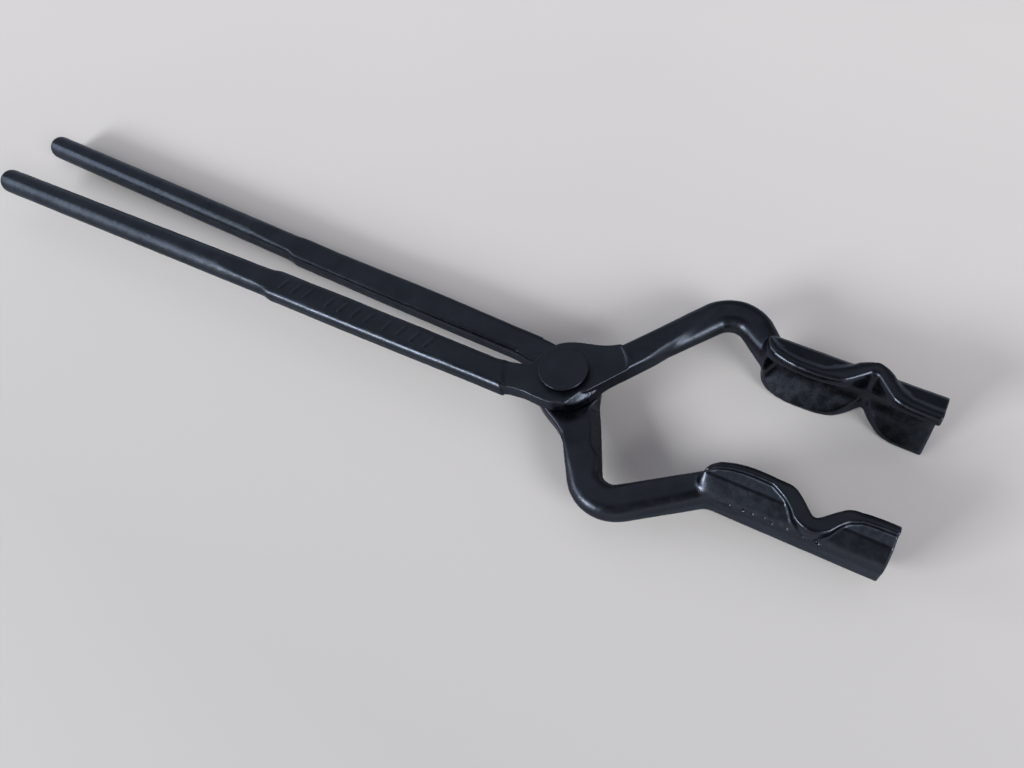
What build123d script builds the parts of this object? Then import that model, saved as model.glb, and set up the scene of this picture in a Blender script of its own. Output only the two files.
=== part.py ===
from build123d import *
import os

# Blacksmith's wolf-jaw tongs: two drop-forged halves that cross at one rivet.
# Frame: the origin is on the rivet's axis, midway between the two bosses.
# +X runs towards the jaws, +Z runs up along the rivet towards its round head.
# Both halves are drawn as an upper half; the lower one is then turned over about X.

# ---------------------------------------------------------------- driving dimensions, mm
# Sizes that the two halves share.
mating_gap = 0.2           # between the two bosses
rein_diameter = 10.6       # round part of each rein, where it is gripped
rein_end_radius = 3.4      # rounding of the rein's end
rein_tip_offset = 15.4     # from the rivet's axis to the rein's line, at its end
rein_flat_start = 150.0    # where the round part begins to flatten, from the rivet
rein_flat_full = 116.0     # where it is fully flat
rein_flat_width = 10.4     # width of the flat stretch
rein_flat_corner = 2.6     # rounding of its long edges
boss_thickness = 7.8       # from the mating face up to the forged top face
hub_radius = 10.6          # round of the boss about the rivet
neck_radius = 7.0          # hollow corners where rein and arm leave the hub
spot_face_radius = 19.8    # flat machined around the rivet
spot_face_depth = 0.8      # how far it is sunk below the forged top face

arm_root_height = 7.8      # arm's section along the rivet's axis, at the hub
arm_bend_height = 8.8      # the same at the bend
arm_entry_height = 12.0    # the same where it meets the jaw
arm_corner = 3.2           # rounding of the arm's long edges
arm_bend_radius = 10.0     # centre line of the arm's outer bend
arm_entry_run = 4.0        # how far the arm's line runs past the jaw's shoulder
arm_entry_depth = 4.4      # from the jaw's back to the end of the arm's line
arm_root_reach = 11.0      # where the arm's bar starts, from the rivet
arm_bend_level = 1.5       # height of the arm's line at its bend

jaw_start = 53.0           # from the rivet's axis to the jaw's shoulder
jaw_length = 54.0          # from the shoulder to the square-cut end
jaw_depth = 12.4           # from the back to the rims
jaw_height = 24.0          # across the two rims
jaw_back_height = 13.6     # across the back
jaw_wall = 3.8             # flange thickness at the rims
groove_floor = 4.6         # web between the back and the groove's floor
groove_floor_height = 6.0  # groove's floor, between its two sloping walls
rim_band = 4.6             # full-height band that follows the rims
shoulder_depth = 5.6       # flange depth at the shoulder
shoulder_run = 4.5         # length over which the flange rises to its full depth
shoulder_drop = 1.9        # how far the first lobe's start stays below the rims
lobe_drop = 1.2            # how far the lobes fall towards the notch
notch_centre = 33.2        # from the shoulder to the middle of the cross notch
notch_depth = 7.2          # from the rims down to the notch's bottom
notch_width = 15.0         # across the notch's mouth
notch_floor = 2.4          # flat at the notch's bottom
jaw_turn = 1.0             # degrees that each jaw leans towards the other, about its end

rivet_diameter = 10.0      # shank
rivet_clearance = 0.05     # radial, in the upper half, which turns on the shank
rivet_head_diameter = 16.4
rivet_head_height = 3.0
rivet_head_edge = 0.4      # bevel of the head's rim
rivet_tail_diameter = 15.0
rivet_tail_height = 2.6
rivet_tail_round = 1.6     # rounding of the peened tail
head_gap = 0.05            # running clearance under the head

# Sizes of each half: how far its rein reaches, how far beside the rivet the rein's line passes,
# where its arm leaves the hub and bends, how wide its arm is in plan at the hub, at the bend and
# at the jaw, and where its jaw's back lies.
upper_rein_reach = 287.0
upper_rein_root = 8.8
upper_arm_root = 6.6
upper_bend = (40.2, 49.4)
upper_arm_widths = (9.2, 10.8, 8.4)
upper_jaw_back = 39.6
lower_rein_reach = 296.5
lower_rein_root = 7.6
lower_arm_root = 4.0
lower_bend = (26.0, 35.8)
lower_arm_widths = (12.8, 11.4, 9.6)
lower_jaw_back = 18.4

# ---------------------------------------------------------------- worked out from these
mating_face = mating_gap / 2
forged_top = mating_face + boss_thickness
spot_face = forged_top - spot_face_depth
rein_level = mating_face + rein_diameter / 2
root_level = mating_face + boss_thickness / 2
arm_level = mating_face + arm_root_height / 2
jaw_end = jaw_start + jaw_length


def rein_plane(reach, side, distance, level):
    """Plane across the rein, at a distance behind the rivet. The rein passes the rivet at side."""
    slope = (rein_tip_offset - side) / reach
    along = Vector(-1, -slope, 0).normalized()
    return Plane(
        origin=(-distance, -side - slope * distance, level),
        x_dir=Vector(-along.Y, along.X, 0),
        z_dir=along,
    )


def make_rein(reach, side):
    """Round bar that flattens towards the boss."""
    tip = rein_plane(reach, side, reach, rein_level)
    round_start = rein_plane(reach, side, rein_flat_start, rein_level)
    flat_end = rein_plane(reach, side, rein_flat_full, rein_level)
    root = rein_plane(reach, side, spot_face_radius, root_level)
    bar_length = (tip.origin - round_start.origin).length
    bar = extrude(round_start * Circle(rein_diameter / 2), amount=bar_length)
    end_edge = bar.edges().filter_by(GeomType.CIRCLE).sort_by_distance(tip.origin)[0]
    bar = fillet(end_edge, rein_end_radius)
    flat = RectangleRounded(rein_flat_width, boss_thickness, rein_flat_corner)
    nearly_round = RectangleRounded(rein_diameter, rein_diameter, rein_diameter * 0.49)
    change = loft([round_start * nearly_round, flat_end * flat], ruled=True)
    straight = loft([flat_end * flat, root * flat], ruled=True)
    return bar + change + straight


def arm_direction(root, bend):
    """Unit vector in plan, from the hub to the arm's bend."""
    return Vector(bend[0] - root, bend[1], 0).normalized()


def make_boss(reach, side, root, bend, arm_width):
    """Plate about the rivet hole, with roots that meet the rein and the arm."""
    half_rein = rein_flat_width / 2
    rein_end = rein_plane(reach, side, spot_face_radius + neck_radius / 2, root_level).origin
    rein_root = make_face(Polyline(
        (rein_end.X, rein_end.Y - half_rein),
        (rein_end.X, rein_end.Y + half_rein),
        (0, 0),
        (0, -hub_radius),
        close=True,
    ))
    way = arm_direction(root, bend)
    across = Vector(way.Y, -way.X, 0) * (arm_width / 2)
    arm_end = Vector(root, 0, 0) + way * spot_face_radius
    near = arm_end + across
    far = arm_end - across
    arm_root = make_face(Polyline(
        (near.X, near.Y),
        (far.X, far.Y),
        (0, hub_radius * 0.5),
        (hub_radius * 0.5, -hub_radius * 0.85),
        close=True,
    ))
    outline = Circle(hub_radius) + rein_root + arm_root
    outline = offset(offset(outline, amount=neck_radius), amount=-neck_radius)
    return extrude(Plane.XY.offset(mating_face) * outline, amount=boss_thickness)


def make_arm(root, bend, widths, jaw_back):
    """Bar from the hub, out round the bend and in to the jaw's shoulder."""
    way = arm_direction(root, bend)
    start = Vector(root, 0, arm_level) + way * arm_root_reach
    entry = Vector(jaw_start + arm_entry_run, jaw_back - arm_entry_depth, 0)
    path = FilletPolyline(start, (bend[0], bend[1], arm_bend_level), entry, radius=arm_bend_radius)
    line_in, arc, line_out = path.edges().sort_by_distance(start)
    bend_start = line_in.length / path.length
    bend_end = 1 - line_out.length / path.length

    def section(share, width, height):
        along = path % share
        plane = Plane(origin=path @ share, x_dir=(-along.Y, along.X, 0), z_dir=along)
        return plane * RectangleRounded(width, height, arm_corner)

    at_hub = section(0, widths[0], arm_root_height)
    into_bend = section(bend_start, widths[1], arm_bend_height)
    out_of_bend = section(bend_end, widths[1], arm_bend_height)
    at_jaw = section(1, widths[2], arm_entry_height)
    first = loft([at_hub, into_bend], ruled=True)
    second = loft([out_of_bend, at_jaw], ruled=True)
    return first + sweep(into_bend, path=arc) + second


def jaw_outline():
    """Plan of the jaw: back along X, rims with two lobes and the cross notch between them."""
    rim_in = jaw_depth - lobe_drop
    notch_level = jaw_depth - notch_depth
    notch_in = notch_centre - notch_width / 2
    notch_out = notch_centre + notch_width / 2
    lobe_one = ThreePointArc(
        (shoulder_run, jaw_depth - shoulder_drop),
        ((shoulder_run + notch_in) / 2, jaw_depth),
        (notch_in, rim_in),
    )
    lobe_two = ThreePointArc(
        (notch_out, rim_in),
        ((notch_out + jaw_length) / 2, jaw_depth),
        (jaw_length, jaw_depth),
    )
    notch = Polyline(
        (notch_in, rim_in),
        (notch_centre - notch_floor / 2, notch_level),
        (notch_centre + notch_floor / 2, notch_level),
        (notch_out, rim_in),
    )
    back = Polyline(
        (jaw_length, jaw_depth),
        (jaw_length, 0),
        (0, 0),
        (0, shoulder_depth),
        (shoulder_run, jaw_depth - shoulder_drop),
    )
    return make_face([*lobe_one.edges(), *notch.edges(), *lobe_two.edges(), *back.edges()])


def make_jaw(jaw_back):
    """Channel whose flanges flare from the back to the rims, opening towards -Y."""
    half_back = jaw_back_height / 2
    half_rim = jaw_height / 2
    beyond = jaw_depth + 2
    flared = make_face(Polyline(
        (0, -half_back),
        (jaw_depth, -half_rim),
        (beyond, -half_rim),
        (beyond, half_rim),
        (jaw_depth, half_rim),
        (0, half_back),
        close=True,
    ))
    groove = make_face(Polyline(
        (groove_floor, -groove_floor_height / 2),
        (beyond, jaw_wall - half_rim),
        (beyond, half_rim - jaw_wall),
        (groove_floor, groove_floor_height / 2),
        close=True,
    ))
    outline = jaw_outline()
    band = outline - Pos(0, -rim_band) * outline
    section_plane = Plane(origin=(0, 0, 0), x_dir=(0, 1, 0), z_dir=(1, 0, 0))
    channel = extrude(section_plane * flared, amount=jaw_length)
    ridge = extrude(band, amount=half_rim, both=True)
    blank = extrude(outline, amount=half_rim, both=True)
    hollow = extrude(section_plane.offset(shoulder_run) * groove, amount=jaw_length)
    jaw = ((channel + ridge) & blank) - hollow
    return Pos(jaw_end, jaw_back, 0) * Rot(0, 0, -jaw_turn) * Rot(180, 0, 0) * Pos(-jaw_length, 0, 0) * jaw


def make_half(reach, side, root, bend, arm_widths, jaw_back):
    """One forging in the upper position, without its rivet hole."""
    half = make_rein(reach, side) + make_boss(reach, side, root, bend, arm_widths[0])
    half += make_arm(root, bend, arm_widths, jaw_back)
    half -= Pos(0, 0, spot_face) * Cylinder(
        spot_face_radius, boss_thickness, align=(Align.CENTER, Align.CENTER, Align.MIN)
    )
    return half + make_jaw(jaw_back)


def bore(half, radius):
    """Hole for the rivet's shank, through both faces of the boss."""
    return half - Cylinder(radius, 4 * boss_thickness)


def make_rivet():
    """Button-headed rivet whose tail is peened over under the lower boss."""
    standing = (Align.CENTER, Align.CENTER, Align.MIN)
    shank = Pos(0, 0, -spot_face) * Cylinder(rivet_diameter / 2, 2 * spot_face + head_gap, align=standing)
    head = Cylinder(rivet_head_diameter / 2, rivet_head_height, align=standing)
    head = chamfer(head.edges().sort_by(Axis.Z)[-1], rivet_head_edge)
    head = Pos(0, 0, spot_face + head_gap) * head
    tail = Cylinder(rivet_tail_diameter / 2, rivet_tail_height, align=standing)
    tail = fillet(tail.edges().sort_by(Axis.Z)[-1], rivet_tail_round)
    tail = Rot(180, 0, 0) * Pos(0, 0, spot_face) * tail
    return shank + head + tail


upper_blank = make_half(
    upper_rein_reach, upper_rein_root, upper_arm_root, upper_bend, upper_arm_widths, upper_jaw_back
)
lower_blank = make_half(
    lower_rein_reach, lower_rein_root, lower_arm_root, lower_bend, lower_arm_widths, lower_jaw_back
)
upper_half = bore(upper_blank, rivet_diameter / 2 + rivet_clearance)
lower_half = bore(Rot(180, 0, 0) * lower_blank, rivet_diameter / 2)
rivet = make_rivet()

os.makedirs("parts", exist_ok=True)
for name, shape in (("upper_half", upper_half), ("lower_half", lower_half), ("rivet", rivet)):
    export_step(shape, f"parts/{name}.step")
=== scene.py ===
"""Blacksmith's wolf-jaw tongs: two black-coated drop forgings on one rivet.

Each half is modelled as a distance field in millimetres, in an upper position (z up from the
mating face), and turned into a mesh. The lower half is the same kind of field turned over about X.
"""
import math

import bpy
import numpy as np
from mathutils import Euler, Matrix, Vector


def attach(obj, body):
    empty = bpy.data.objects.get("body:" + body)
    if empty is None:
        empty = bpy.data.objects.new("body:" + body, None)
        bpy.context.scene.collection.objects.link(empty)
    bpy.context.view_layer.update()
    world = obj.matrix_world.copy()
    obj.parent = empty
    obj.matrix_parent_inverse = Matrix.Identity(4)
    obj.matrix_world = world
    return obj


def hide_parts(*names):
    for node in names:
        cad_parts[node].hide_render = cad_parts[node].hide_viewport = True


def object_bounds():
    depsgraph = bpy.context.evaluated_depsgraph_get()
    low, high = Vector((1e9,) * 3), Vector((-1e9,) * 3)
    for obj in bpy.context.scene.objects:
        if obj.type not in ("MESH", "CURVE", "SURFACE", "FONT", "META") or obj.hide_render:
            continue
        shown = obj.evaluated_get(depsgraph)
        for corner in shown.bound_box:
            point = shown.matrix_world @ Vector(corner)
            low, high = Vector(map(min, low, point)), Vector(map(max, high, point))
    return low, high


MM = 0.001

# ---------------------------------------------------------------- sizes shared by the halves, mm
CELL = 0.5                  # mesh cell
MATING_FACE = 0.1           # half of the gap between the halves
ROOT_LEVEL = 4.0            # middle of the boss's thickness
REIN_LEVEL = 5.4            # middle of the rein past its flattened stretch
REIN_RADIUS = 5.3
REIN_END_ROUND = 3.4
REIN_TIP_OFFSET = 15.4
FLAT_HALF_WIDTH = 5.2
FLAT_HALF_HEIGHT = 3.9
FLAT_CORNER = 2.6
FLAT_FULL = 116.0           # the rein is flattened up to about here, measured from the rivet
RIB_PLACES = (114, 108, 102.5, 92, 86, 80, 74, 66, 60, 54, 48)
RIB_HEIGHT = 0.32
HUB_RADIUS = 10.6
ROOT_CORNER = 1.3
SLAB_END = 17.0             # where the boss's slab ends along the arm
SPOT_RADIUS = 19.8          # the flat spot face round the rivet
SPOT_LEVEL = 7.1
NECK = 7.0                  # the rein's root reaches half of this past the spot face
HUB_FILLET = 5.5            # fillet in plan between the hub and the rein's root
BEND_RADIUS = 10.0
ARM_START = 11.0            # where the arm begins to sink and change section
ARM_HEIGHTS = (7.8, 8.8, 8.8, 12.0)
ARM_LEVELS = (ROOT_LEVEL, 1.5, 0.0)
JAW_START = 53.0
JAW_LENGTH = 54.0
JAW_DEPTH = 12.4            # from the back to the tops of the rims
JAW_HALF_HEIGHT = 11.94
JAW_TURN = math.radians(1.0)
END_TRIM = 0.05             # the jaw ends this much short of its length
PANEL_COSINE = 0.84         # of the panel's slope
GROOVE_FLOOR = 4.6          # steel left between the back and the groove
GROOVE_COSINE = 0.81        # of the groove walls' slope
UNDERSIDE_RIM_CORNER = 1.2
UNDERSIDE_BEAD_START = 4.5
LOBE_RIM_CORNER = 2.8
PIT_COUNT = 26
RELEASE_START = 16.0        # the mating face is flat up to this radius, and then falls away
RELEASE_END = 31.0
RELEASE_DEPTH = 2.2
NOT_HERE = -9               # field value of a cut outside its own region

# reach, side: how far back the rein goes from the rivet, and how far beside the rivet its line starts
# root, bend, widths: the arm's start on X, its corner in plan, and its widths at start, bend and end
# jaw_back, back_t, back_z: the line of the jaw's back, and its section as depths and heights
# flat_start, far_step: where the rein's flattening starts, and the far side's share of the step there
# inset: how much the boss is set in towards the rein
# diagonal, ribs: whether the arm's flat top narrows, and whether the rein has ribs
# bead, bead_blend, notch_rim: extra width and softness of the bead, and rounding of the notch's rims
# scale: how scaly the panel is; up: 1 where z points up in the scene, -1 where the half is turned over
UPPER = {
    "reach": 287.0, "side": 8.8, "root": 6.6, "bend": (40.2, 49.4), "widths": (9.2, 10.8, 8.4),
    "jaw_back": 39.6, "flat_start": 146.0, "bore": 5.05, "seed": 3, "up": 1,
    "far_step": 1.0, "inset": 0.35, "diagonal": True, "ribs": True,
    "back_t": [-2, 0, 1.4, 3.0, 6.0, 9.0, 13], "back_z": [1.6, 4.9, 7.3, 8.8, 9.9, 10.1, 11.2],
    "bead": 1.0, "bead_blend": 3.6, "notch_rim": 2.3, "scale": 0.0,
}
LOWER = {
    "reach": 296.5, "side": 7.6, "root": 4.0, "bend": (26.0, 35.8), "widths": (12.8, 11.4, 9.6),
    "jaw_back": 18.4, "flat_start": 156.0, "bore": 5.0, "seed": 11, "up": -1,
    "far_step": 0.0, "inset": 0.0, "diagonal": False, "ribs": False,
    "back_t": [-2, 0, 5.4, 6.2, 9.0, 13], "back_z": [3.4, 5.2, 9.8, 10.0, 9.8, 11.2],
    "bead": 0.2, "bead_blend": 1.0, "notch_rim": 1.3, "scale": 1.0,
}


# ---------------------------------------------------------------- field helpers
def soft_min(a, b, k):
    """Union of two fields with a fillet of about size k."""
    h = np.clip(0.5 + 0.5 * (b - a) / k, 0, 1)
    return b + (a - b) * h - k * h * (1 - h)


def soft_max(a, b, k):
    """Intersection of two fields with its edge rounded by about k."""
    return -soft_min(-a, -b, k)


def ramp(x, start, end):
    """0 at start, 1 at end, smooth between them; end may be below start."""
    t = np.clip((x - start) / (end - start), 0, 1)
    return t * t * (3 - 2 * t)


def rounded(u, v, corner):
    """Field of a quarter plane u < 0, v < 0 whose corner is rounded."""
    u = u + corner
    v = v + corner
    return np.hypot(np.maximum(u, 0), np.maximum(v, 0)) + np.minimum(np.maximum(u, v), 0) - corner


def polygon(x, y, points):
    """Signed distance to a closed outline in plan."""
    best = np.full(x.shape, 1e9)
    inside = np.zeros(x.shape, bool)
    for (ax, ay), (bx, by) in zip(points, points[1:] + points[:1]):
        ex = bx - ax
        ey = by - ay
        t = np.clip(((x - ax) * ex + (y - ay) * ey) / (ex * ex + ey * ey), 0, 1)
        best = np.minimum(best, (x - ax - t * ex) ** 2 + (y - ay - t * ey) ** 2)
        if ay != by:
            inside ^= ((y >= min(ay, by)) & (y < max(ay, by))) & (x < ax + (y - ay) / ey * ex)
    return np.where(inside, -1, 1) * np.sqrt(best)


def grain(x, y, z, size, seed):
    """Smooth noise from -1 to 1 whose bumps are about one size apart."""
    q = [np.asarray(c, float) / size for c in (x, y, z)]
    whole = [np.floor(c).astype(np.int64) for c in q]
    part = [c - w for c, w in zip(q, whole)]
    part = [f * f * (3 - 2 * f) for f in part]
    total = np.zeros(q[0].shape)
    for i in (0, 1):
        for j in (0, 1):
            for k in (0, 1):
                h = (whole[0] + i) * 374761393 + (whole[1] + j) * 668265263 + (whole[2] + k) * 40503761
                h = (h + seed * 144665) & 0xFFFFFFFF
                h = ((h ^ (h >> 13)) * 1274126177) & 0xFFFFFFFF
                h = h ^ (h >> 16)
                weight = (part[0] if i else 1 - part[0]) * (part[1] if j else 1 - part[1])
                total += weight * (part[2] if k else 1 - part[2]) * ((h & 0xFFFF) / 32767.5 - 1)
    return total


# ---------------------------------------------------------------- rein
def rein_slope(half):
    return (REIN_TIP_OFFSET - half["side"]) / half["reach"]


def rein_axes(half, x, y):
    """Distance along the rein from the rivet, and distance across it towards the front."""
    slope = rein_slope(half)
    c = 1 / math.hypot(1, slope)
    s = -c * x - slope * c * (y + half["side"])
    w = slope * c * x - c * (y + half["side"])
    return s, w


def rein_field(half, x, y, z):
    s, w = rein_axes(half, x, y)
    rise = np.clip((s - SPOT_RADIUS) / (FLAT_FULL - SPOT_RADIUS), 0, 1)
    level = ROOT_LEVEL + (REIN_LEVEL - ROOT_LEVEL) * rise
    v = z - level
    length = half["reach"] * math.hypot(1, rein_slope(half))
    bar = rounded(np.hypot(w, v) - REIN_RADIUS, s - length, REIN_END_ROUND)
    start = half["flat_start"]
    fall = np.clip((start - s) / (start - FLAT_FULL + 4), 0, 1) ** 0.45
    height = REIN_RADIUS - (REIN_RADIUS - FLAT_HALF_HEIGHT) * fall
    pressed = soft_max(bar, np.abs(v) - height, 0.5)
    bow = 0.35 * ramp(s, 26, 62) * (1 - ramp(s, 70, 112))
    step = np.where(w * half["up"] > 0, 1, half["far_step"])
    spread = 0.55 * ramp(s, start - 21, start - 27) * ramp(s, 60, 110) * step
    side = np.abs(w) - FLAT_HALF_WIDTH - bow - spread
    square = rounded(side, np.abs(v) - np.minimum(height, 4.6), FLAT_CORNER)
    mix = ramp(s, start - 20, start - 26)
    field = pressed * (1 - mix) + square * mix
    if half["ribs"]:
        for centre in RIB_PLACES:
            rib = rounded(np.abs(s - centre - 0.35 * w) - 0.6, np.abs(w + 0.4) - 2.1, 0.4)
            field -= RIB_HEIGHT * ramp(-rib, -0.5, 0.3) * (v > 0)
    return np.maximum(field, SPOT_RADIUS - 3 - s)


# ---------------------------------------------------------------- boss
def arm_direction(half):
    """Unit vector in plan from the arm's root towards its bend."""
    ex = half["bend"][0] - half["root"]
    ey = half["bend"][1]
    length = math.hypot(ex, ey)
    return ex / length, ey / length


def boss_outline(half, x, y):
    """Field of the boss in plan, and the distance along the arm's straight start."""
    reach = SPOT_RADIUS + NECK / 2
    neck_y = -half["side"] - rein_slope(half) * reach
    rein_root = polygon(x, y, [
        (-reach, neck_y - FLAT_HALF_WIDTH), (-reach, neck_y + FLAT_HALF_WIDTH), (0, 0), (0, -HUB_RADIUS),
    ])
    hub = np.hypot(x, y) - HUB_RADIUS
    along, across = root_axes(half, x, y)
    bar = np.maximum(np.abs(across) - arm_width(half, along) / 2, -along)
    ax, ay = arm_direction(half)
    half_width = half["widths"][0] / 2
    end_x = half["root"] + ax * SPOT_RADIUS
    end_y = ay * SPOT_RADIUS
    wedge = polygon(x, y, [
        (end_x + ay * half_width, end_y - ax * half_width),
        (end_x - ay * half_width, end_y + ax * half_width),
        (0, HUB_RADIUS * 0.5), (HUB_RADIUS * 0.5, -HUB_RADIUS * 0.85),
    ])
    hollow = 4.5 + 8.0 * ramp(-across, -1, 3)
    return soft_min(soft_min(hub, rein_root, HUB_FILLET), np.minimum(bar, wedge), hollow), along


def arm_width(half, along):
    """Width in plan of the arm's straight start."""
    run = arm_path(half)[1]
    return np.interp(along, [ARM_START, run[1]], half["widths"][:2])


def arm_corner(along, run):
    """Rounding of the arm's edges along its line."""
    return np.interp(along, [13.0, 26.0, run[1], run[-2], run[-1]], [ROOT_CORNER, 2.6, 3.9, 4.1, 3.6])


def root_axes(half, x, y):
    """Distance along the straight start of the arm's line, and across it towards the inside of the bend."""
    ex, ey = arm_direction(half)
    dx = x - half["root"]
    return dx * ex + y * ey, dx * ey - y * ex


def boss_field(half, x, y, z):
    outline, along = boss_outline(half, x, y)
    outline = outline + half["inset"] * (1 - ramp(np.hypot(x, y), 19.3, 21.3)) * ramp(-x, 6, 12)
    slab = np.abs(z - ROOT_LEVEL) - FLAT_HALF_HEIGHT
    rein_side = ROOT_CORNER + (FLAT_CORNER - ROOT_CORNER) * ramp(-x, 12, 23)
    corner = np.maximum(rein_side, arm_corner(along, arm_path(half)[1]))
    field = np.maximum(rounded(outline, slab, corner), along - SLAB_END)
    # ground chamfer along the front edge, towards the arm, with the grinding marks in it
    where = ramp(x, 1, 9) * ramp(-y, -15, -11)
    wave = np.sin(4.4 * (x * 0.95 + y * 0.2) + 1.5 * grain(x, y, z, 2.5, 7))
    marks = 0.06 * wave * (0.6 + grain(x, y, z, 3.0, 8))
    chamfer = (outline + (z - SPOT_LEVEL) + 2.4) / 1.414 + marks
    return np.where(where > 0.01, soft_max(field, chamfer - (1 - where) * 3, 0.3), field)


# ---------------------------------------------------------------- arm
def arm_path(half):
    """Points along the arm in plan with the distance run, from the hub to inside the jaw."""
    p0 = np.array([half["root"], 0.0])
    p1 = np.array(half["bend"])
    p2 = np.array([JAW_START + 4.0, half["jaw_back"] - 4.4])
    a = (p0 - p1) / np.linalg.norm(p0 - p1)
    b = (p2 - p1) / np.linalg.norm(p2 - p1)
    angle = math.acos(np.clip(a @ b, -1, 1))
    tangent = BEND_RADIUS / math.tan(angle / 2)
    middle = (a + b) / np.linalg.norm(a + b)
    centre = p1 + middle * (BEND_RADIUS / math.sin(angle / 2))
    start = p1 + a * tangent
    end = p1 + b * tangent
    t0 = math.atan2(*(start - centre)[::-1])
    t1 = math.atan2(*(end - centre)[::-1])
    turn = (t1 - t0 + math.pi) % (2 * math.pi) - math.pi
    turns = [t0 + turn * share for share in np.linspace(0, 1, 15)]
    arc = [centre + BEND_RADIUS * np.array([math.cos(t), math.sin(t)]) for t in turns]
    points = np.array([p0, *arc, p2])
    run = np.concatenate([[0], np.cumsum(np.linalg.norm(np.diff(points, axis=0), axis=1))])
    return points, run


def arm_axes(half, x, y):
    """Distance along the arm's line, and distance across it, positive towards the inside of the bend."""
    points, run = arm_path(half)
    best = np.full(x.shape, 1e9)
    along = np.zeros(x.shape)
    across = np.zeros(x.shape)
    for a, b, r in zip(points[:-1], points[1:], run[:-1]):
        e = b - a
        length = np.linalg.norm(e)
        e = e / length
        t = np.clip((x - a[0]) * e[0] + (y - a[1]) * e[1], 0, length)
        dx = x - a[0] - t * e[0]
        dy = y - a[1] - t * e[1]
        d = dx * dx + dy * dy
        closer = d < best
        side = np.sign(dx * e[1] - dy * e[0])
        along = np.where(closer, r + t, along)
        across = np.where(closer, side * np.sqrt(d), across)
        best = np.where(closer, d, best)
    return along, across, run


def arm_field(half, x, y, z):
    s, w, run = arm_axes(half, x, y)
    bend_in, bend_out, end = run[1], run[-2], run[-1]
    stops = [ARM_START, bend_in, bend_out, end]
    first, middle, last = half["widths"]
    width = np.interp(s, stops, [first, middle, middle, last]) / 2
    height = np.interp(s, stops, ARM_HEIGHTS) / 2
    v = z - np.interp(s, [ARM_START, (bend_in + bend_out) / 2, end], ARM_LEVELS)
    corner = arm_corner(s, run)
    side = np.abs(w) - width
    if not half["diagonal"]:
        return rounded(side, np.abs(v) - height, corner)
    # the flat top narrows from the front edge to the back one, and the rest is rounded lower
    border = np.interp(s, [15, 27, 49, 62, 72], [5.2, 2.9, -1.2, -3.6, -6.0])
    lower = 0.9 * ramp(w - border, -0.6, 2.6) * ramp(s, 17, 27) * (1 - ramp(s, 48, 58))
    top = np.abs(v + lower / 2) - height + lower / 2
    rounder = corner + 1.6 * ramp(w - border, -1, 3) * ramp(s, 22, 30)
    return rounded(side, top, np.minimum(rounder, 4.1))


def root_bevel(half, x, y, z):
    """Broad bevel on the mating side, along the arm's inner edge."""
    along, across = root_axes(half, x, y)
    width = half["widths"][0] / 2
    level = MATING_FACE - 0.115 * np.maximum(along - ARM_START, 0)
    fade = 3.4 * (1 - ramp(along, 3, 9)) + 3.4 * ramp(along, 20, 32)
    bevel = (across - width + 0.03 * along) * 0.80 - (z - level) * 0.60 + 2.4 - fade
    return np.where((along > 2) & (along < 36) & (across < width + 4), bevel, NOT_HERE)


# ---------------------------------------------------------------- jaw
def jaw_axes(half, x, y):
    """Distance along the jaw from its shoulder, and depth from its back towards the rims."""
    qx = x - JAW_START - JAW_LENGTH
    qy = y - half["jaw_back"]
    c = math.cos(JAW_TURN)
    s = math.sin(JAW_TURN)
    return qx * c - qy * s + JAW_LENGTH, -(qx * s + qy * c)


def rim_line():
    """Depth of the rims along the jaw: shoulder, lobe, cross notch, lobe."""
    u = np.linspace(-4, JAW_LENGTH + 4, 233)
    first = [(0, 5.6), (2.2, 8.6), (4.5, 10.4), (8, 11.6), (11.5, 12.2), (15, 12.4), (19, 12.3), (22, 12.0)]
    notch = [(24.5, 11.5), (26.5, 10.7), (28.5, 9.1), (32.6, 5.0), (33.8, 5.0), (37.8, 8.8), (40, 10.7)]
    second = [(42, 11.6), (45, 12.2), (49, 12.4), (54, 12.4)]
    depth = np.interp(u, *zip(*first, *notch, *second))
    kernel = np.exp(-np.linspace(-2, 2, 9) ** 2)
    padded = np.pad(depth, 4, mode="edge")
    return u, np.convolve(padded, kernel / kernel.sum(), mode="valid")


RIM_U, RIM_T = rim_line()
RIM_COS = 1 / np.sqrt(1 + np.gradient(RIM_T, RIM_U) ** 2)
BAND_U = [0, 20, 24, 28, 33.2, 38, 41.5, 45, 54]
BAND_WIDTH = [2.4, 2.9, 4.6, 6.8, 5.6, 6.2, 4.2, 3.2, 3.0]


def jaw_outside(half, u, t, z):
    """The jaw without its groove: back, panel, beaded rims with two lobes, shoulder and end."""
    rim = np.interp(u, RIM_U, RIM_T)
    cosine = np.interp(u, RIM_U, RIM_COS)
    up = np.abs(z)
    top = z * half["up"] > 0
    inner = (t + np.interp(u, BAND_U, BAND_WIDTH) + half["bead"] - rim) * cosine
    band = np.where(top, -inner, np.maximum(-inner, UNDERSIDE_BEAD_START - t))
    blend = half["bead_blend"]
    bead = soft_max(up - JAW_HALF_HEIGHT, band, blend)
    panel = (up - np.interp(t, half["back_t"], half["back_z"])) * PANEL_COSINE
    outer = soft_min(panel, bead, 0.7 * blend)
    notch = ramp(u, 21, 26) * ramp(u, 45, 40)
    rim_corner = half["notch_rim"] + (LOBE_RIM_CORNER - half["notch_rim"]) * (1 - notch)
    body = soft_max(outer, (t - rim) * cosine, np.where(top, rim_corner, UNDERSIDE_RIM_CORNER))
    body = soft_max(body, soft_max(-t, -u, 5.0), 2.0)
    return soft_max(body, u + END_TRIM - JAW_LENGTH, 0.6)


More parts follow.
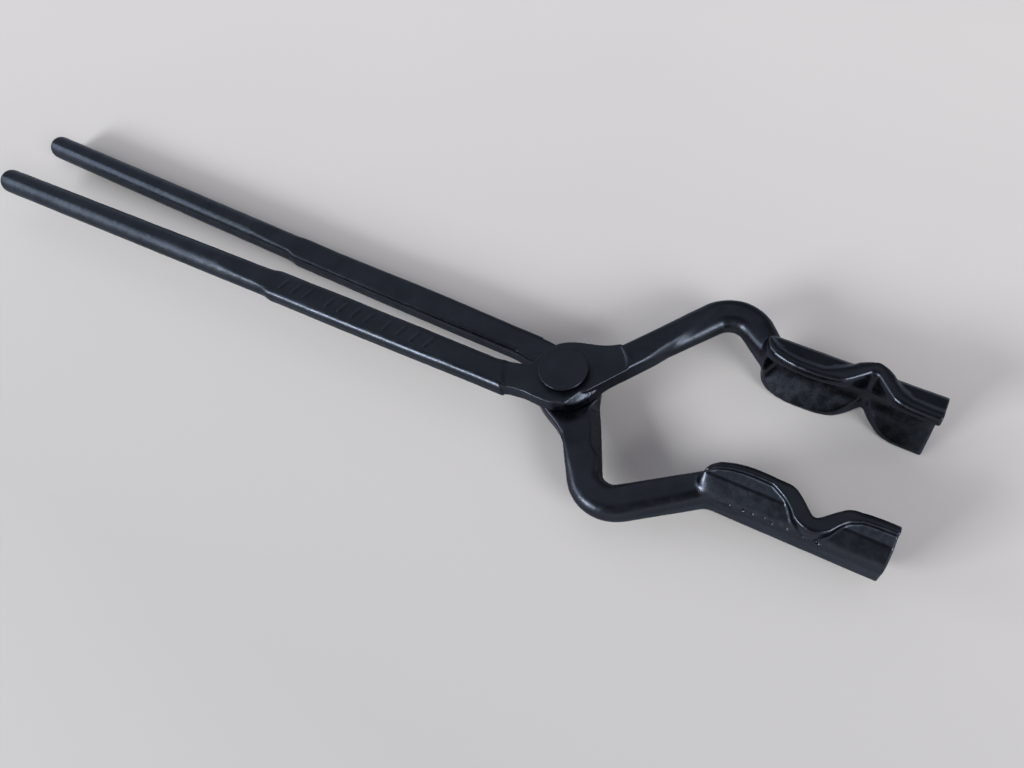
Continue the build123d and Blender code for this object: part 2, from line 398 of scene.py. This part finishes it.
def jaw_groove(half, u, t, z):
    """The V groove between the rims, open at the jaw's end."""
    up = np.abs(z)
    top = z * half["up"] > 0
    upper_wall = np.interp(t, [GROOVE_FLOOR, JAW_DEPTH], [2.6, 8.6])
    lower_wall = np.interp(t, [GROOVE_FLOOR, 8.0, JAW_DEPTH], [2.6, 6.2, 11.2])
    wall = np.where(top, upper_wall, lower_wall)
    floor = GROOVE_FLOOR + 6.0 * (1 - ramp(u, -1, 6))
    groove = soft_max(floor - t, (up - wall) * GROOVE_COSINE, 3.0)
    return soft_max(groove, 0.5 - u, 1.5)


def scale_marks(half, body, u, t, z):
    """Pits in the scale along the back's upper edge, and a shallow lap where the arm ends."""
    z = z * half["up"]
    for k in range(PIT_COUNT):
        pit_u = 8 + 1.25 * k + 0.6 * math.sin(7.0 * k)
        pit_t = 0.75 + 0.4 * math.sin(3.3 * k)
        pit_z = 5.6 + 0.6 * math.sin(5.1 * k)
        radius = 0.38 + 0.14 * math.sin(11.0 * k)
        distance = np.sqrt((u - pit_u) ** 2 + (t - pit_t) ** 2 + (z - pit_z) ** 2)
        body = soft_max(body, radius - distance, 0.25)
    lap = np.sqrt(((u - 9) / 4.5) ** 2 + (t + 0.4) ** 2 + ((z - 3.4) / 1.8) ** 2)
    return soft_max(body, 1.2 - lap, 0.5)


# ---------------------------------------------------------------- one forging
def half_field(half, x, y, z):
    """Rein, boss and arm with the spot face, then the jaw, the forged skin, the mating face and the bore."""
    field = rein_field(half, x, y, z)
    field = np.minimum(field, boss_field(half, x, y, z))
    field = np.minimum(field, arm_field(half, x, y, z))
    if not half["diagonal"]:
        field = soft_max(field, root_bevel(half, x, y, z), 0.4)
    radius = np.hypot(x, y)
    spot = np.maximum(SPOT_LEVEL - z, (radius - SPOT_RADIUS - 1.5 * (z - SPOT_LEVEL)) / 1.8)
    field = soft_max(field, -spot, 0.25)
    u, t = jaw_axes(half, x, y)
    body = scale_marks(half, jaw_outside(half, u, t, z), u, t, z)
    field = soft_max(soft_min(field, body, 1.2), -jaw_groove(half, u, t, z), 0.7)
    field = soft_max(field, np.abs(z) - JAW_HALF_HEIGHT, 0.3)
    seed = half["seed"]
    skin = 0.05 * grain(x, y, z, 7.0, seed) + 0.03 * grain(x, y, z, 2.6, seed + 1)
    field = field + ramp(radius, 22, 34) * skin
    release = RELEASE_DEPTH * ramp(radius, RELEASE_START, RELEASE_END)
    mating = np.where(radius < RELEASE_END, MATING_FACE - release - z, NOT_HERE)
    field = soft_max(field, mating, 0.2)
    return soft_max(field, half["bore"] - radius, 0.2)


# ---------------------------------------------------------------- field to mesh
def surface(field, low, high, cell):
    """Points and quads of the field's zero surface, as a surface net on a grid of that cell."""
    block = 4
    count = np.ceil((np.array(high) - low) / (cell * block)).astype(int) + 1
    centre = [low[i] + (np.arange(count[i]) * block + (block - 1) / 2) * cell for i in range(3)]
    gx, gy, gz = (g.ravel() for g in np.meshgrid(*centre, indexing="ij"))
    coarse = field(gx, gy, gz).reshape(count)
    grid = np.where(coarse < 0, -9.0, 9.0).astype(np.float32)
    for axis in range(3):
        grid = np.repeat(grid, block, axis)
    # only the blocks near the surface are worked out cell by cell
    near = np.argwhere(np.abs(coarse) < 2.9 * cell * block / 2)
    offsets = np.stack(np.meshgrid(*[np.arange(block)] * 3, indexing="ij"), -1).reshape(-1, 3)
    index = (near[:, None, :] * block + offsets[None]).reshape(-1, 3)
    value = np.empty(len(index))
    for part in np.array_split(np.arange(len(index)), max(1, len(index) // 200000)):
        p = low + index[part] * cell
        value[part] = field(p[:, 0], p[:, 1], p[:, 2])
    grid[index[:, 0], index[:, 1], index[:, 2]] = value
    inside = grid < 0
    total = np.zeros([n - 1 for n in grid.shape], np.uint8)
    corners = [(i, j, k) for i in (0, 1) for j in (0, 1) for k in (0, 1)]
    for i, j, k in corners:
        total += inside[i:grid.shape[0] - 1 + i, j:grid.shape[1] - 1 + j, k:grid.shape[2] - 1 + k]
    cells = np.argwhere((total > 0) & (total < 8))
    values = np.array([grid[cells[:, 0] + i, cells[:, 1] + j, cells[:, 2] + k] for i, j, k in corners])
    where = np.zeros((len(cells), 3))
    hits = np.zeros(len(cells))
    for a in range(8):
        for b in range(a + 1, 8):
            step = np.array(corners[b]) - corners[a]
            if np.abs(step).sum() != 1:
                continue
            crossing = (values[a] < 0) != (values[b] < 0)
            gap = np.where(crossing, values[a] - values[b], 1)
            share = np.where(crossing, values[a] / gap, 0)
            where += crossing[:, None] * (np.array(corners[a]) + share[:, None] * step)
            hits += crossing
    points = low + (cells + where / hits[:, None]) * cell
    ids = np.full(total.shape, -1, np.int32)
    ids[cells[:, 0], cells[:, 1], cells[:, 2]] = np.arange(len(cells))
    quads = []
    for axis in range(3):
        u = (axis + 1) % 3
        v = (axis + 2) % 3
        a = np.take(inside, range(grid.shape[axis] - 1), axis)
        b = np.take(inside, range(1, grid.shape[axis]), axis)
        edge = np.argwhere(a != b)
        edge = edge[(edge[:, u] > 0) & (edge[:, v] > 0)]
        flip = a[edge[:, 0], edge[:, 1], edge[:, 2]]
        ring = []
        for du, dv in ((1, 1), (0, 1), (0, 0), (1, 0)):
            c = edge.copy()
            c[:, u] -= du
            c[:, v] -= dv
            ring.append(ids[c[:, 0], c[:, 1], c[:, 2]])
        ring = np.array(ring).T
        quads.append(np.where(flip[:, None], ring, ring[:, ::-1]))
    return points, np.concatenate(quads)


def slope_of(field, p, step=0.05):
    """Field and its gradient at points."""
    value = field(p[:, 0], p[:, 1], p[:, 2])
    columns = []
    for axis in range(3):
        q = p.copy()
        r = p.copy()
        q[:, axis] += step
        r[:, axis] -= step
        rise = field(q[:, 0], q[:, 1], q[:, 2]) - field(r[:, 0], r[:, 1], r[:, 2])
        columns.append(rise / (2 * step))
    return value, np.array(columns).T


def bend_of(field, p, step=0.7):
    """How sharply the surface turns: above 0 on outer edges, below 0 in hollows."""
    total = -6 * field(p[:, 0], p[:, 1], p[:, 2])
    for axis in range(3):
        for sign in (-1, 1):
            q = p.copy()
            q[:, axis] += sign * step
            total += field(q[:, 0], q[:, 1], q[:, 2])
    return total / step ** 2


def new_piece(name, points, faces):
    """Smooth-shaded object from points in millimetres."""
    mesh = bpy.data.meshes.new(name)
    mesh.from_pydata((points * MM).tolist(), [], faces)
    mesh.shade_smooth()
    mesh.update()
    piece = bpy.data.objects.new(name, mesh)
    bpy.context.scene.collection.objects.link(piece)
    return piece


def surface_layers(half, field, points):
    """Values that the coating reads, one for each point."""
    x, y, z = points.T
    u, t = jaw_axes(half, x, y)
    radius = np.hypot(x, y)
    band = np.interp(u, RIM_U, RIM_T) - np.interp(u, BAND_U, BAND_WIDTH)
    panel = ramp(t, 5.9, 6.4) * ramp(band - t, -0.2, 0.5) * ramp(np.abs(z), 8.8, 9.3)
    inside_spot = 1 - ramp(radius, SPOT_RADIUS - 0.6, SPOT_RADIUS + 0.6)
    return {
        # how sharply outer edges turn; the coating paints these lighter, partly as wear and partly as a
        # painted highlight
        "edge_wear_and_highlight": np.clip(bend_of(field, points) * 0.5, -1, 1),
        "gloss": ramp(u, -8, 4),
        "plate": inside_spot * ramp(z, SPOT_LEVEL - 0.4, SPOT_LEVEL - 0.1),
        "scaly": panel * ramp(u, 1, 3) * half["scale"],
    }


def make_half(name, half, low, high, turned):
    """One forging, worked out between two corners in millimetres, and turned over about X if asked."""
    def field(x, y, z):
        return half_field(half, x, y, z)

    points, quads = surface(field, np.array(low), np.array(high), CELL)
    # a few steps along the slope bring the points onto the surface
    for _ in range(3):
        value, slope = slope_of(field, points)
        size = np.maximum((slope ** 2).sum(1), 0.3)
        points = points - np.clip(value / size, -0.3, 0.3)[:, None] * slope
    layers = surface_layers(half, field, points)
    if turned:
        points = points * [1, -1, -1]
    piece = new_piece(name, points, quads.tolist())
    for label, data in layers.items():
        layer = piece.data.attributes.new(label, "FLOAT", "POINT")
        layer.data.foreach_set("value", data.astype(np.float32))
    return piece


# ---------------------------------------------------------------- rivet
def make_rivet(name):
    """Turned profile: peened tail, shank, and a button head with a thin bevelled rim."""
    tail = [(0.0, -9.7), (1.5, -9.68), (3.0, -9.6), (4.5, -9.4), (5.6, -9.1), (6.5, -8.6)]
    tail += [(7.1, -8.1), (7.4, -7.6), (7.5, -7.12), (7.3, -7.1)]
    shank = [(5.0, -7.1), (5.0, 0.0), (5.0, 7.15)]
    head = [(7.2, 7.15), (7.6, 7.3), (7.75, 7.6), (8.05, 7.9), (8.2, 8.3), (8.2, 9.55)]
    head += [(8.16, 9.72), (8.02, 9.84), (7.85, 9.88), (7.6, 9.9)]
    dome = [(6.6, 9.96), (5.2, 10.03), (3.6, 10.09), (2.0, 10.13), (0.0, 10.15)]
    profile = tail + shank + head + dome
    turns = 144
    rows = len(profile) - 2
    points = []
    for r, z in profile[1:-1]:
        for k in range(turns):
            a = 2 * math.pi * k / turns
            points.append((r * math.cos(a), r * math.sin(a), z))
    points += [(0, 0, profile[0][1]), (0, 0, profile[-1][1])]
    low = len(points) - 2
    high = len(points) - 1
    faces = []
    for i in range(rows - 1):
        for k in range(turns):
            n = (k + 1) % turns
            faces.append((i * turns + k, i * turns + n, (i + 1) * turns + n, (i + 1) * turns + k))
    for k in range(turns):
        n = (k + 1) % turns
        faces.append((low, n, k))
        faces.append((high, (rows - 1) * turns + k, (rows - 1) * turns + n))
    # hammer dents in the tail, and a faint unevenness of the head's face
    co = np.array(points, float)
    dents = grain(co[:, 0], co[:, 1], co[:, 2], 3.2, 21)
    co[:, 2] += np.where(co[:, 2] < -7.2, np.abs(dents) * 0.25, 0)
    top = ramp(co[:, 2], 9.85, 9.95)
    co[:, 2] -= top * 0.05 * (1 + grain(co[:, 0], co[:, 1], co[:, 2] * 0, 2.4, 5))
    return new_piece(name, co, faces)


# ---------------------------------------------------------------- materials
MIX_A = 6                   # sockets of a Mix node in colour mode
MIX_B = 7
MIX_RESULT = 2
COATING_THICK = (0.036, 0.040, 0.050, 1)
COATING_THIN = (0.050, 0.056, 0.069, 1)
# colour of outer edges: partly worn coating, partly a painted highlight
WORN_EDGE_AND_HIGHLIGHT = (0.110, 0.118, 0.135, 1)
SCALE_DUST = (0.100, 0.112, 0.140, 1)
CLOTH_DARK = (0.94, 0.872, 0.838, 1)
CLOTH_LIGHT = (0.97, 0.902, 0.865, 1)
# painted shade: the cloth's colour at the front edge
CLOTH_PAINTED_SHADE_FRONT = (0.645, 0.608, 0.587, 1)


def node(tree, kind, **values):
    """New node; a value goes to the input of that name, or else to the node's own setting."""
    made = tree.nodes.new(kind)
    for key, value in values.items():
        if key in made.inputs:
            made.inputs[key].default_value = value
        else:
            setattr(made, key, value)
    return made


def link(tree, a, out, b, into):
    tree.links.new(a.outputs[out], b.inputs[into])


def noise(tree, where, scale, detail, rough=0.55):
    made = node(tree, "ShaderNodeTexNoise", Scale=scale, Detail=detail, Roughness=rough)
    link(tree, where, "Object", made, "Vector")
    return made


def fit(tree, source, out, low, high, to_low, to_high, **options):
    """The source's value, stretched from low..high to to_low..to_high."""
    made = node(tree, "ShaderNodeMapRange", **options)
    for key, value in (("From Min", low), ("From Max", high), ("To Min", to_low), ("To Max", to_high)):
        made.inputs[key].default_value = value
    link(tree, source, out, made, "Value")
    return made


def mixed(tree, factor, out, a, b):
    """Colour a where the factor is 0 and b where it is 1; each is a colour or a node that gives one."""
    made = node(tree, "ShaderNodeMix", data_type="RGBA")
    link(tree, factor, out, made, 0)
    for socket, colour in ((MIX_A, a), (MIX_B, b)):
        if isinstance(colour, tuple):
            made.inputs[socket].default_value = colour
        else:
            link(tree, colour, MIX_RESULT, made, socket)
    return made


def combined(tree, operation, a, a_out, b, b_out):
    made = node(tree, "ShaderNodeMath", operation=operation)
    link(tree, a, a_out, made, 0)
    link(tree, b, b_out, made, 1)
    return made


def layer_value(tree, label):
    """Node that reads one of surface_layers' values."""
    return node(tree, "ShaderNodeAttribute", attribute_name=label)


def forged_colour(tree, base, where, skin):
    """Lighter on broken stretches of outer edge, partly as wear and partly as a painted highlight, and dusty
    on the scaly panel.
    """
    # painted highlight and wear: convex edges are coloured lighter in broken stretches
    edge = fit(tree, layer_value(tree, "edge_wear_and_highlight"), "Fac", 0.3, 1.0, 0.0, 0.35)
    gaps = fit(tree, skin, "Fac", 0.42, 0.62, 0.0, 1.0)
    broken_wear_and_highlight = combined(tree, "MULTIPLY", edge, "Result", gaps, "Result")
    colour = mixed(tree, broken_wear_and_highlight, "Value", base, WORN_EDGE_AND_HIGHLIGHT)
    flakes = fit(tree, noise(tree, where, 700.0, 4.0, 0.7), "Fac", 0.35, 0.65, 0.25, 1.0)
    patchy = combined(tree, "MULTIPLY", layer_value(tree, "scaly"), "Fac", flakes, "Result")
    return mixed(tree, patchy, "Value", colour, SCALE_DUST)


def forged_roughness(tree, rough):
    """Smoother on the jaws, duller on the spot face, roughest on the scaly panel."""
    total, out = rough, "Result"
    for label, change in (("gloss", -0.04), ("plate", 0.10), ("scaly", 0.16)):
        part = fit(tree, layer_value(tree, label), "Fac", 0.0, 1.0, 0.0, change)
        total = combined(tree, "ADD", total, out, part, "Result")
        out = "Value"
    return total


def black_coating(name, rough_low, rough_high, forged):
    """Mottled satin black with a fine skin, set up as a dark metal so that grazing reflections stay dim."""
    material = bpy.data.materials.new(name)
    material.use_nodes = True
    tree = material.node_tree
    tree.nodes.clear()
    out = node(tree, "ShaderNodeOutputMaterial")
    shader = node(tree, "ShaderNodeBsdfPrincipled")
    shader.inputs["Metallic"].default_value = 1.0
    shader.inputs["Specular Tint"].default_value = (0.55, 0.58, 0.63, 1)
    link(tree, shader, "BSDF", out, "Surface")
    where = node(tree, "ShaderNodeTexCoord")
    cloud = noise(tree, where, 90.0, 4.0)
    fine = noise(tree, where, 1400.0, 3.0, 0.6)
    skin = noise(tree, where, 420.0, 2.0, 0.5)
    thin = fit(tree, cloud, "Fac", 0.3, 0.7, 0.0, 1.0)
    colour = mixed(tree, thin, "Result", COATING_THICK, COATING_THIN)
    rough = fit(tree, skin, "Fac", 0.3, 0.7, rough_low, rough_high)
    if forged:
        colour = forged_colour(tree, colour, where, skin)
        link(tree, forged_roughness(tree, rough), "Value", shader, "Roughness")
    else:
        link(tree, rough, "Result", shader, "Roughness")
    link(tree, colour, MIX_RESULT, shader, "Base Color")
    height = node(tree, "ShaderNodeMath", operation="MULTIPLY_ADD")
    link(tree, skin, "Fac", height, 0)
    height.inputs[1].default_value = 2.0
    link(tree, fine, "Fac", height, 2)
    bump = node(tree, "ShaderNodeBump", Strength=0.35, Distance=0.00004)
    link(tree, height, "Value", bump, "Height")
    link(tree, bump, "Normal", shader, "Normal")
    return material


def cloth_floor(name):
    """Plain pale ground with a very faint unevenness, and painted shade that darkens it towards the front.
    """
    material = bpy.data.materials.new(name)
    material.use_nodes = True
    tree = material.node_tree
    shader = tree.nodes["Principled BSDF"]
    shader.inputs["Roughness"].default_value = 0.9
    shader.inputs["Specular IOR Level"].default_value = 0.1
    where = node(tree, "ShaderNodeTexCoord")
    soft = fit(tree, noise(tree, where, 5.0, 2.0), "Fac", 0.3, 0.7, 0.0, 1.0)
    tint = mixed(tree, soft, "Result", CLOTH_DARK, CLOTH_LIGHT)
    # painted shade: the cloth is coloured darker towards the front
    split = node(tree, "ShaderNodeSeparateXYZ")
    link(tree, where, "Object", split, 0)
    away = fit(tree, split, "Y", -0.12, 0.22, 0.0, 1.0)
    colour = mixed(tree, away, "Result", CLOTH_PAINTED_SHADE_FRONT, tint)
    link(tree, colour, MIX_RESULT, shader, "Base Color")
    return material


# ---------------------------------------------------------------- scene
FLOOR_REACH = 6.0           # metres from the middle to each edge
FLOOR_GAP = 0.0002          # metres under the tongs


def area_light(name, place, target, size, power, colour):
    data = bpy.data.lights.new(name, "AREA")
    data.shape = "RECTANGLE"
    data.size, data.size_y = size
    data.energy = power
    data.color = colour
    lamp = bpy.data.objects.new(name, data)
    lamp.location = place
    lamp.rotation_euler = (Vector(target) - Vector(place)).to_track_quat("-Z", "Y").to_euler()
    bpy.context.scene.collection.objects.link(lamp)


def make_room():
    """Pale walls, a darker ceiling, and two soft dark patches: overhead in front, and low at the back."""
    world = bpy.data.worlds.new("room")
    bpy.context.scene.world = world
    world.use_nodes = True
    tree = world.node_tree
    where = node(tree, "ShaderNodeTexCoord")
    height = node(tree, "ShaderNodeSeparateXYZ")
    link(tree, where, "Generated", height, 0)
    upwards = fit(tree, height, "Z", 0.0, 0.55, 0.0, 1.0)
    room = mixed(tree, upwards, "Result", (0.78, 0.78, 0.81, 1), (0.38, 0.395, 0.435, 1))
    for direction, low, high, colour in (
        ((0.10, -0.50, 0.86), 0.66, 0.93, (0.12, 0.125, 0.145, 1)),
        ((0.00, 0.94, 0.34), 0.76, 0.94, (0.17, 0.18, 0.20, 1)),
    ):
        towards = node(tree, "ShaderNodeVectorMath", operation="DOT_PRODUCT")
        link(tree, where, "Generated", towards, 0)
        towards.inputs[1].default_value = direction
        shade = fit(tree, towards, "Value", low, high, 0.0, 1.0, interpolation_type="SMOOTHSTEP")
        room = mixed(tree, shade, "Result", room, colour)
    link(tree, room, MIX_RESULT, tree.nodes["Background"], "Color")


def make_lights():
    middle = (0, 0, 0)
    area_light("window_front", (-0.70, -1.10, 0.58), middle, (0.62, 0.36), 15, (0.91, 0.96, 1.0))
    area_light("window_left", (-1.45, -0.55, 0.66), (-0.1, 0, 0), (0.90, 0.60), 5, (0.86, 0.94, 1.0))
    area_light("window_right", (1.30, -0.42, 0.74), middle, (0.66, 0.54), 11, (0.93, 0.97, 1.0))


def make_camera():
    camera = bpy.data.objects.new("camera", bpy.data.cameras.new("camera"))
    camera.data.lens = 27.07
    camera.data.sensor_width = 36
    camera.data.clip_start = 0.01
    camera.location = (0.08388, -0.09701, 0.22343)
    camera.rotation_euler = Euler([math.radians(a) for a in (29.255, 10.66, 30.333)])
    bpy.context.scene.collection.objects.link(camera)
    bpy.context.scene.camera = camera
    bpy.context.scene.view_settings.view_transform = "Standard"


def make_floor(level):
    mesh = bpy.data.meshes.new("floor")
    corners = [(x, y, level) for x, y in ((-1, -1), (1, -1), (1, 1), (-1, 1))]
    mesh.from_pydata([(x * FLOOR_REACH, y * FLOOR_REACH, z) for x, y, z in corners], [], [(0, 1, 2, 3)])
    floor = bpy.data.objects.new("floor", mesh)
    floor.data.materials.append(cloth_floor("pale_cloth"))
    bpy.context.scene.collection.objects.link(floor)


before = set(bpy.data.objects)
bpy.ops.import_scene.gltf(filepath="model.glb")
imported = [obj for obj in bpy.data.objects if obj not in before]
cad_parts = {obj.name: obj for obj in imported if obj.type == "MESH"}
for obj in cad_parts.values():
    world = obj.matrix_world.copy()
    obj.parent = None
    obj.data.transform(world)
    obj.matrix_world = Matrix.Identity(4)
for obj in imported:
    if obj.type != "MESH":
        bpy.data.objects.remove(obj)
cad_box = [list(corner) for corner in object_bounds()]
make_room()
make_lights()
make_camera()
make_floor(cad_box[0][2] - FLOOR_GAP)

upper = make_half("upper_forging", UPPER, (-292, -24, -13.5), (109, 56, 13.5), False)
lower = make_half("lower_forging", LOWER, (-302, -24, -13.5), (109, 44, 13.5), True)
rivet = make_rivet("button_rivet")
forging_black = black_coating("black_forging", 0.26, 0.36, True)
rivet_black = black_coating("black_rivet", 0.24, 0.34, False)
for piece, material, body, cad_node, slot in (
    (upper, forging_black, "upper", "upper_half", "black_forging"),
    (lower, forging_black, "lower", "lower_half", "black_forging"),
    (rivet, rivet_black, "lower", "rivet", "black_rivet"),
):
    piece.data.materials.append(material)
    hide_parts(cad_node)
    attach(piece, body)
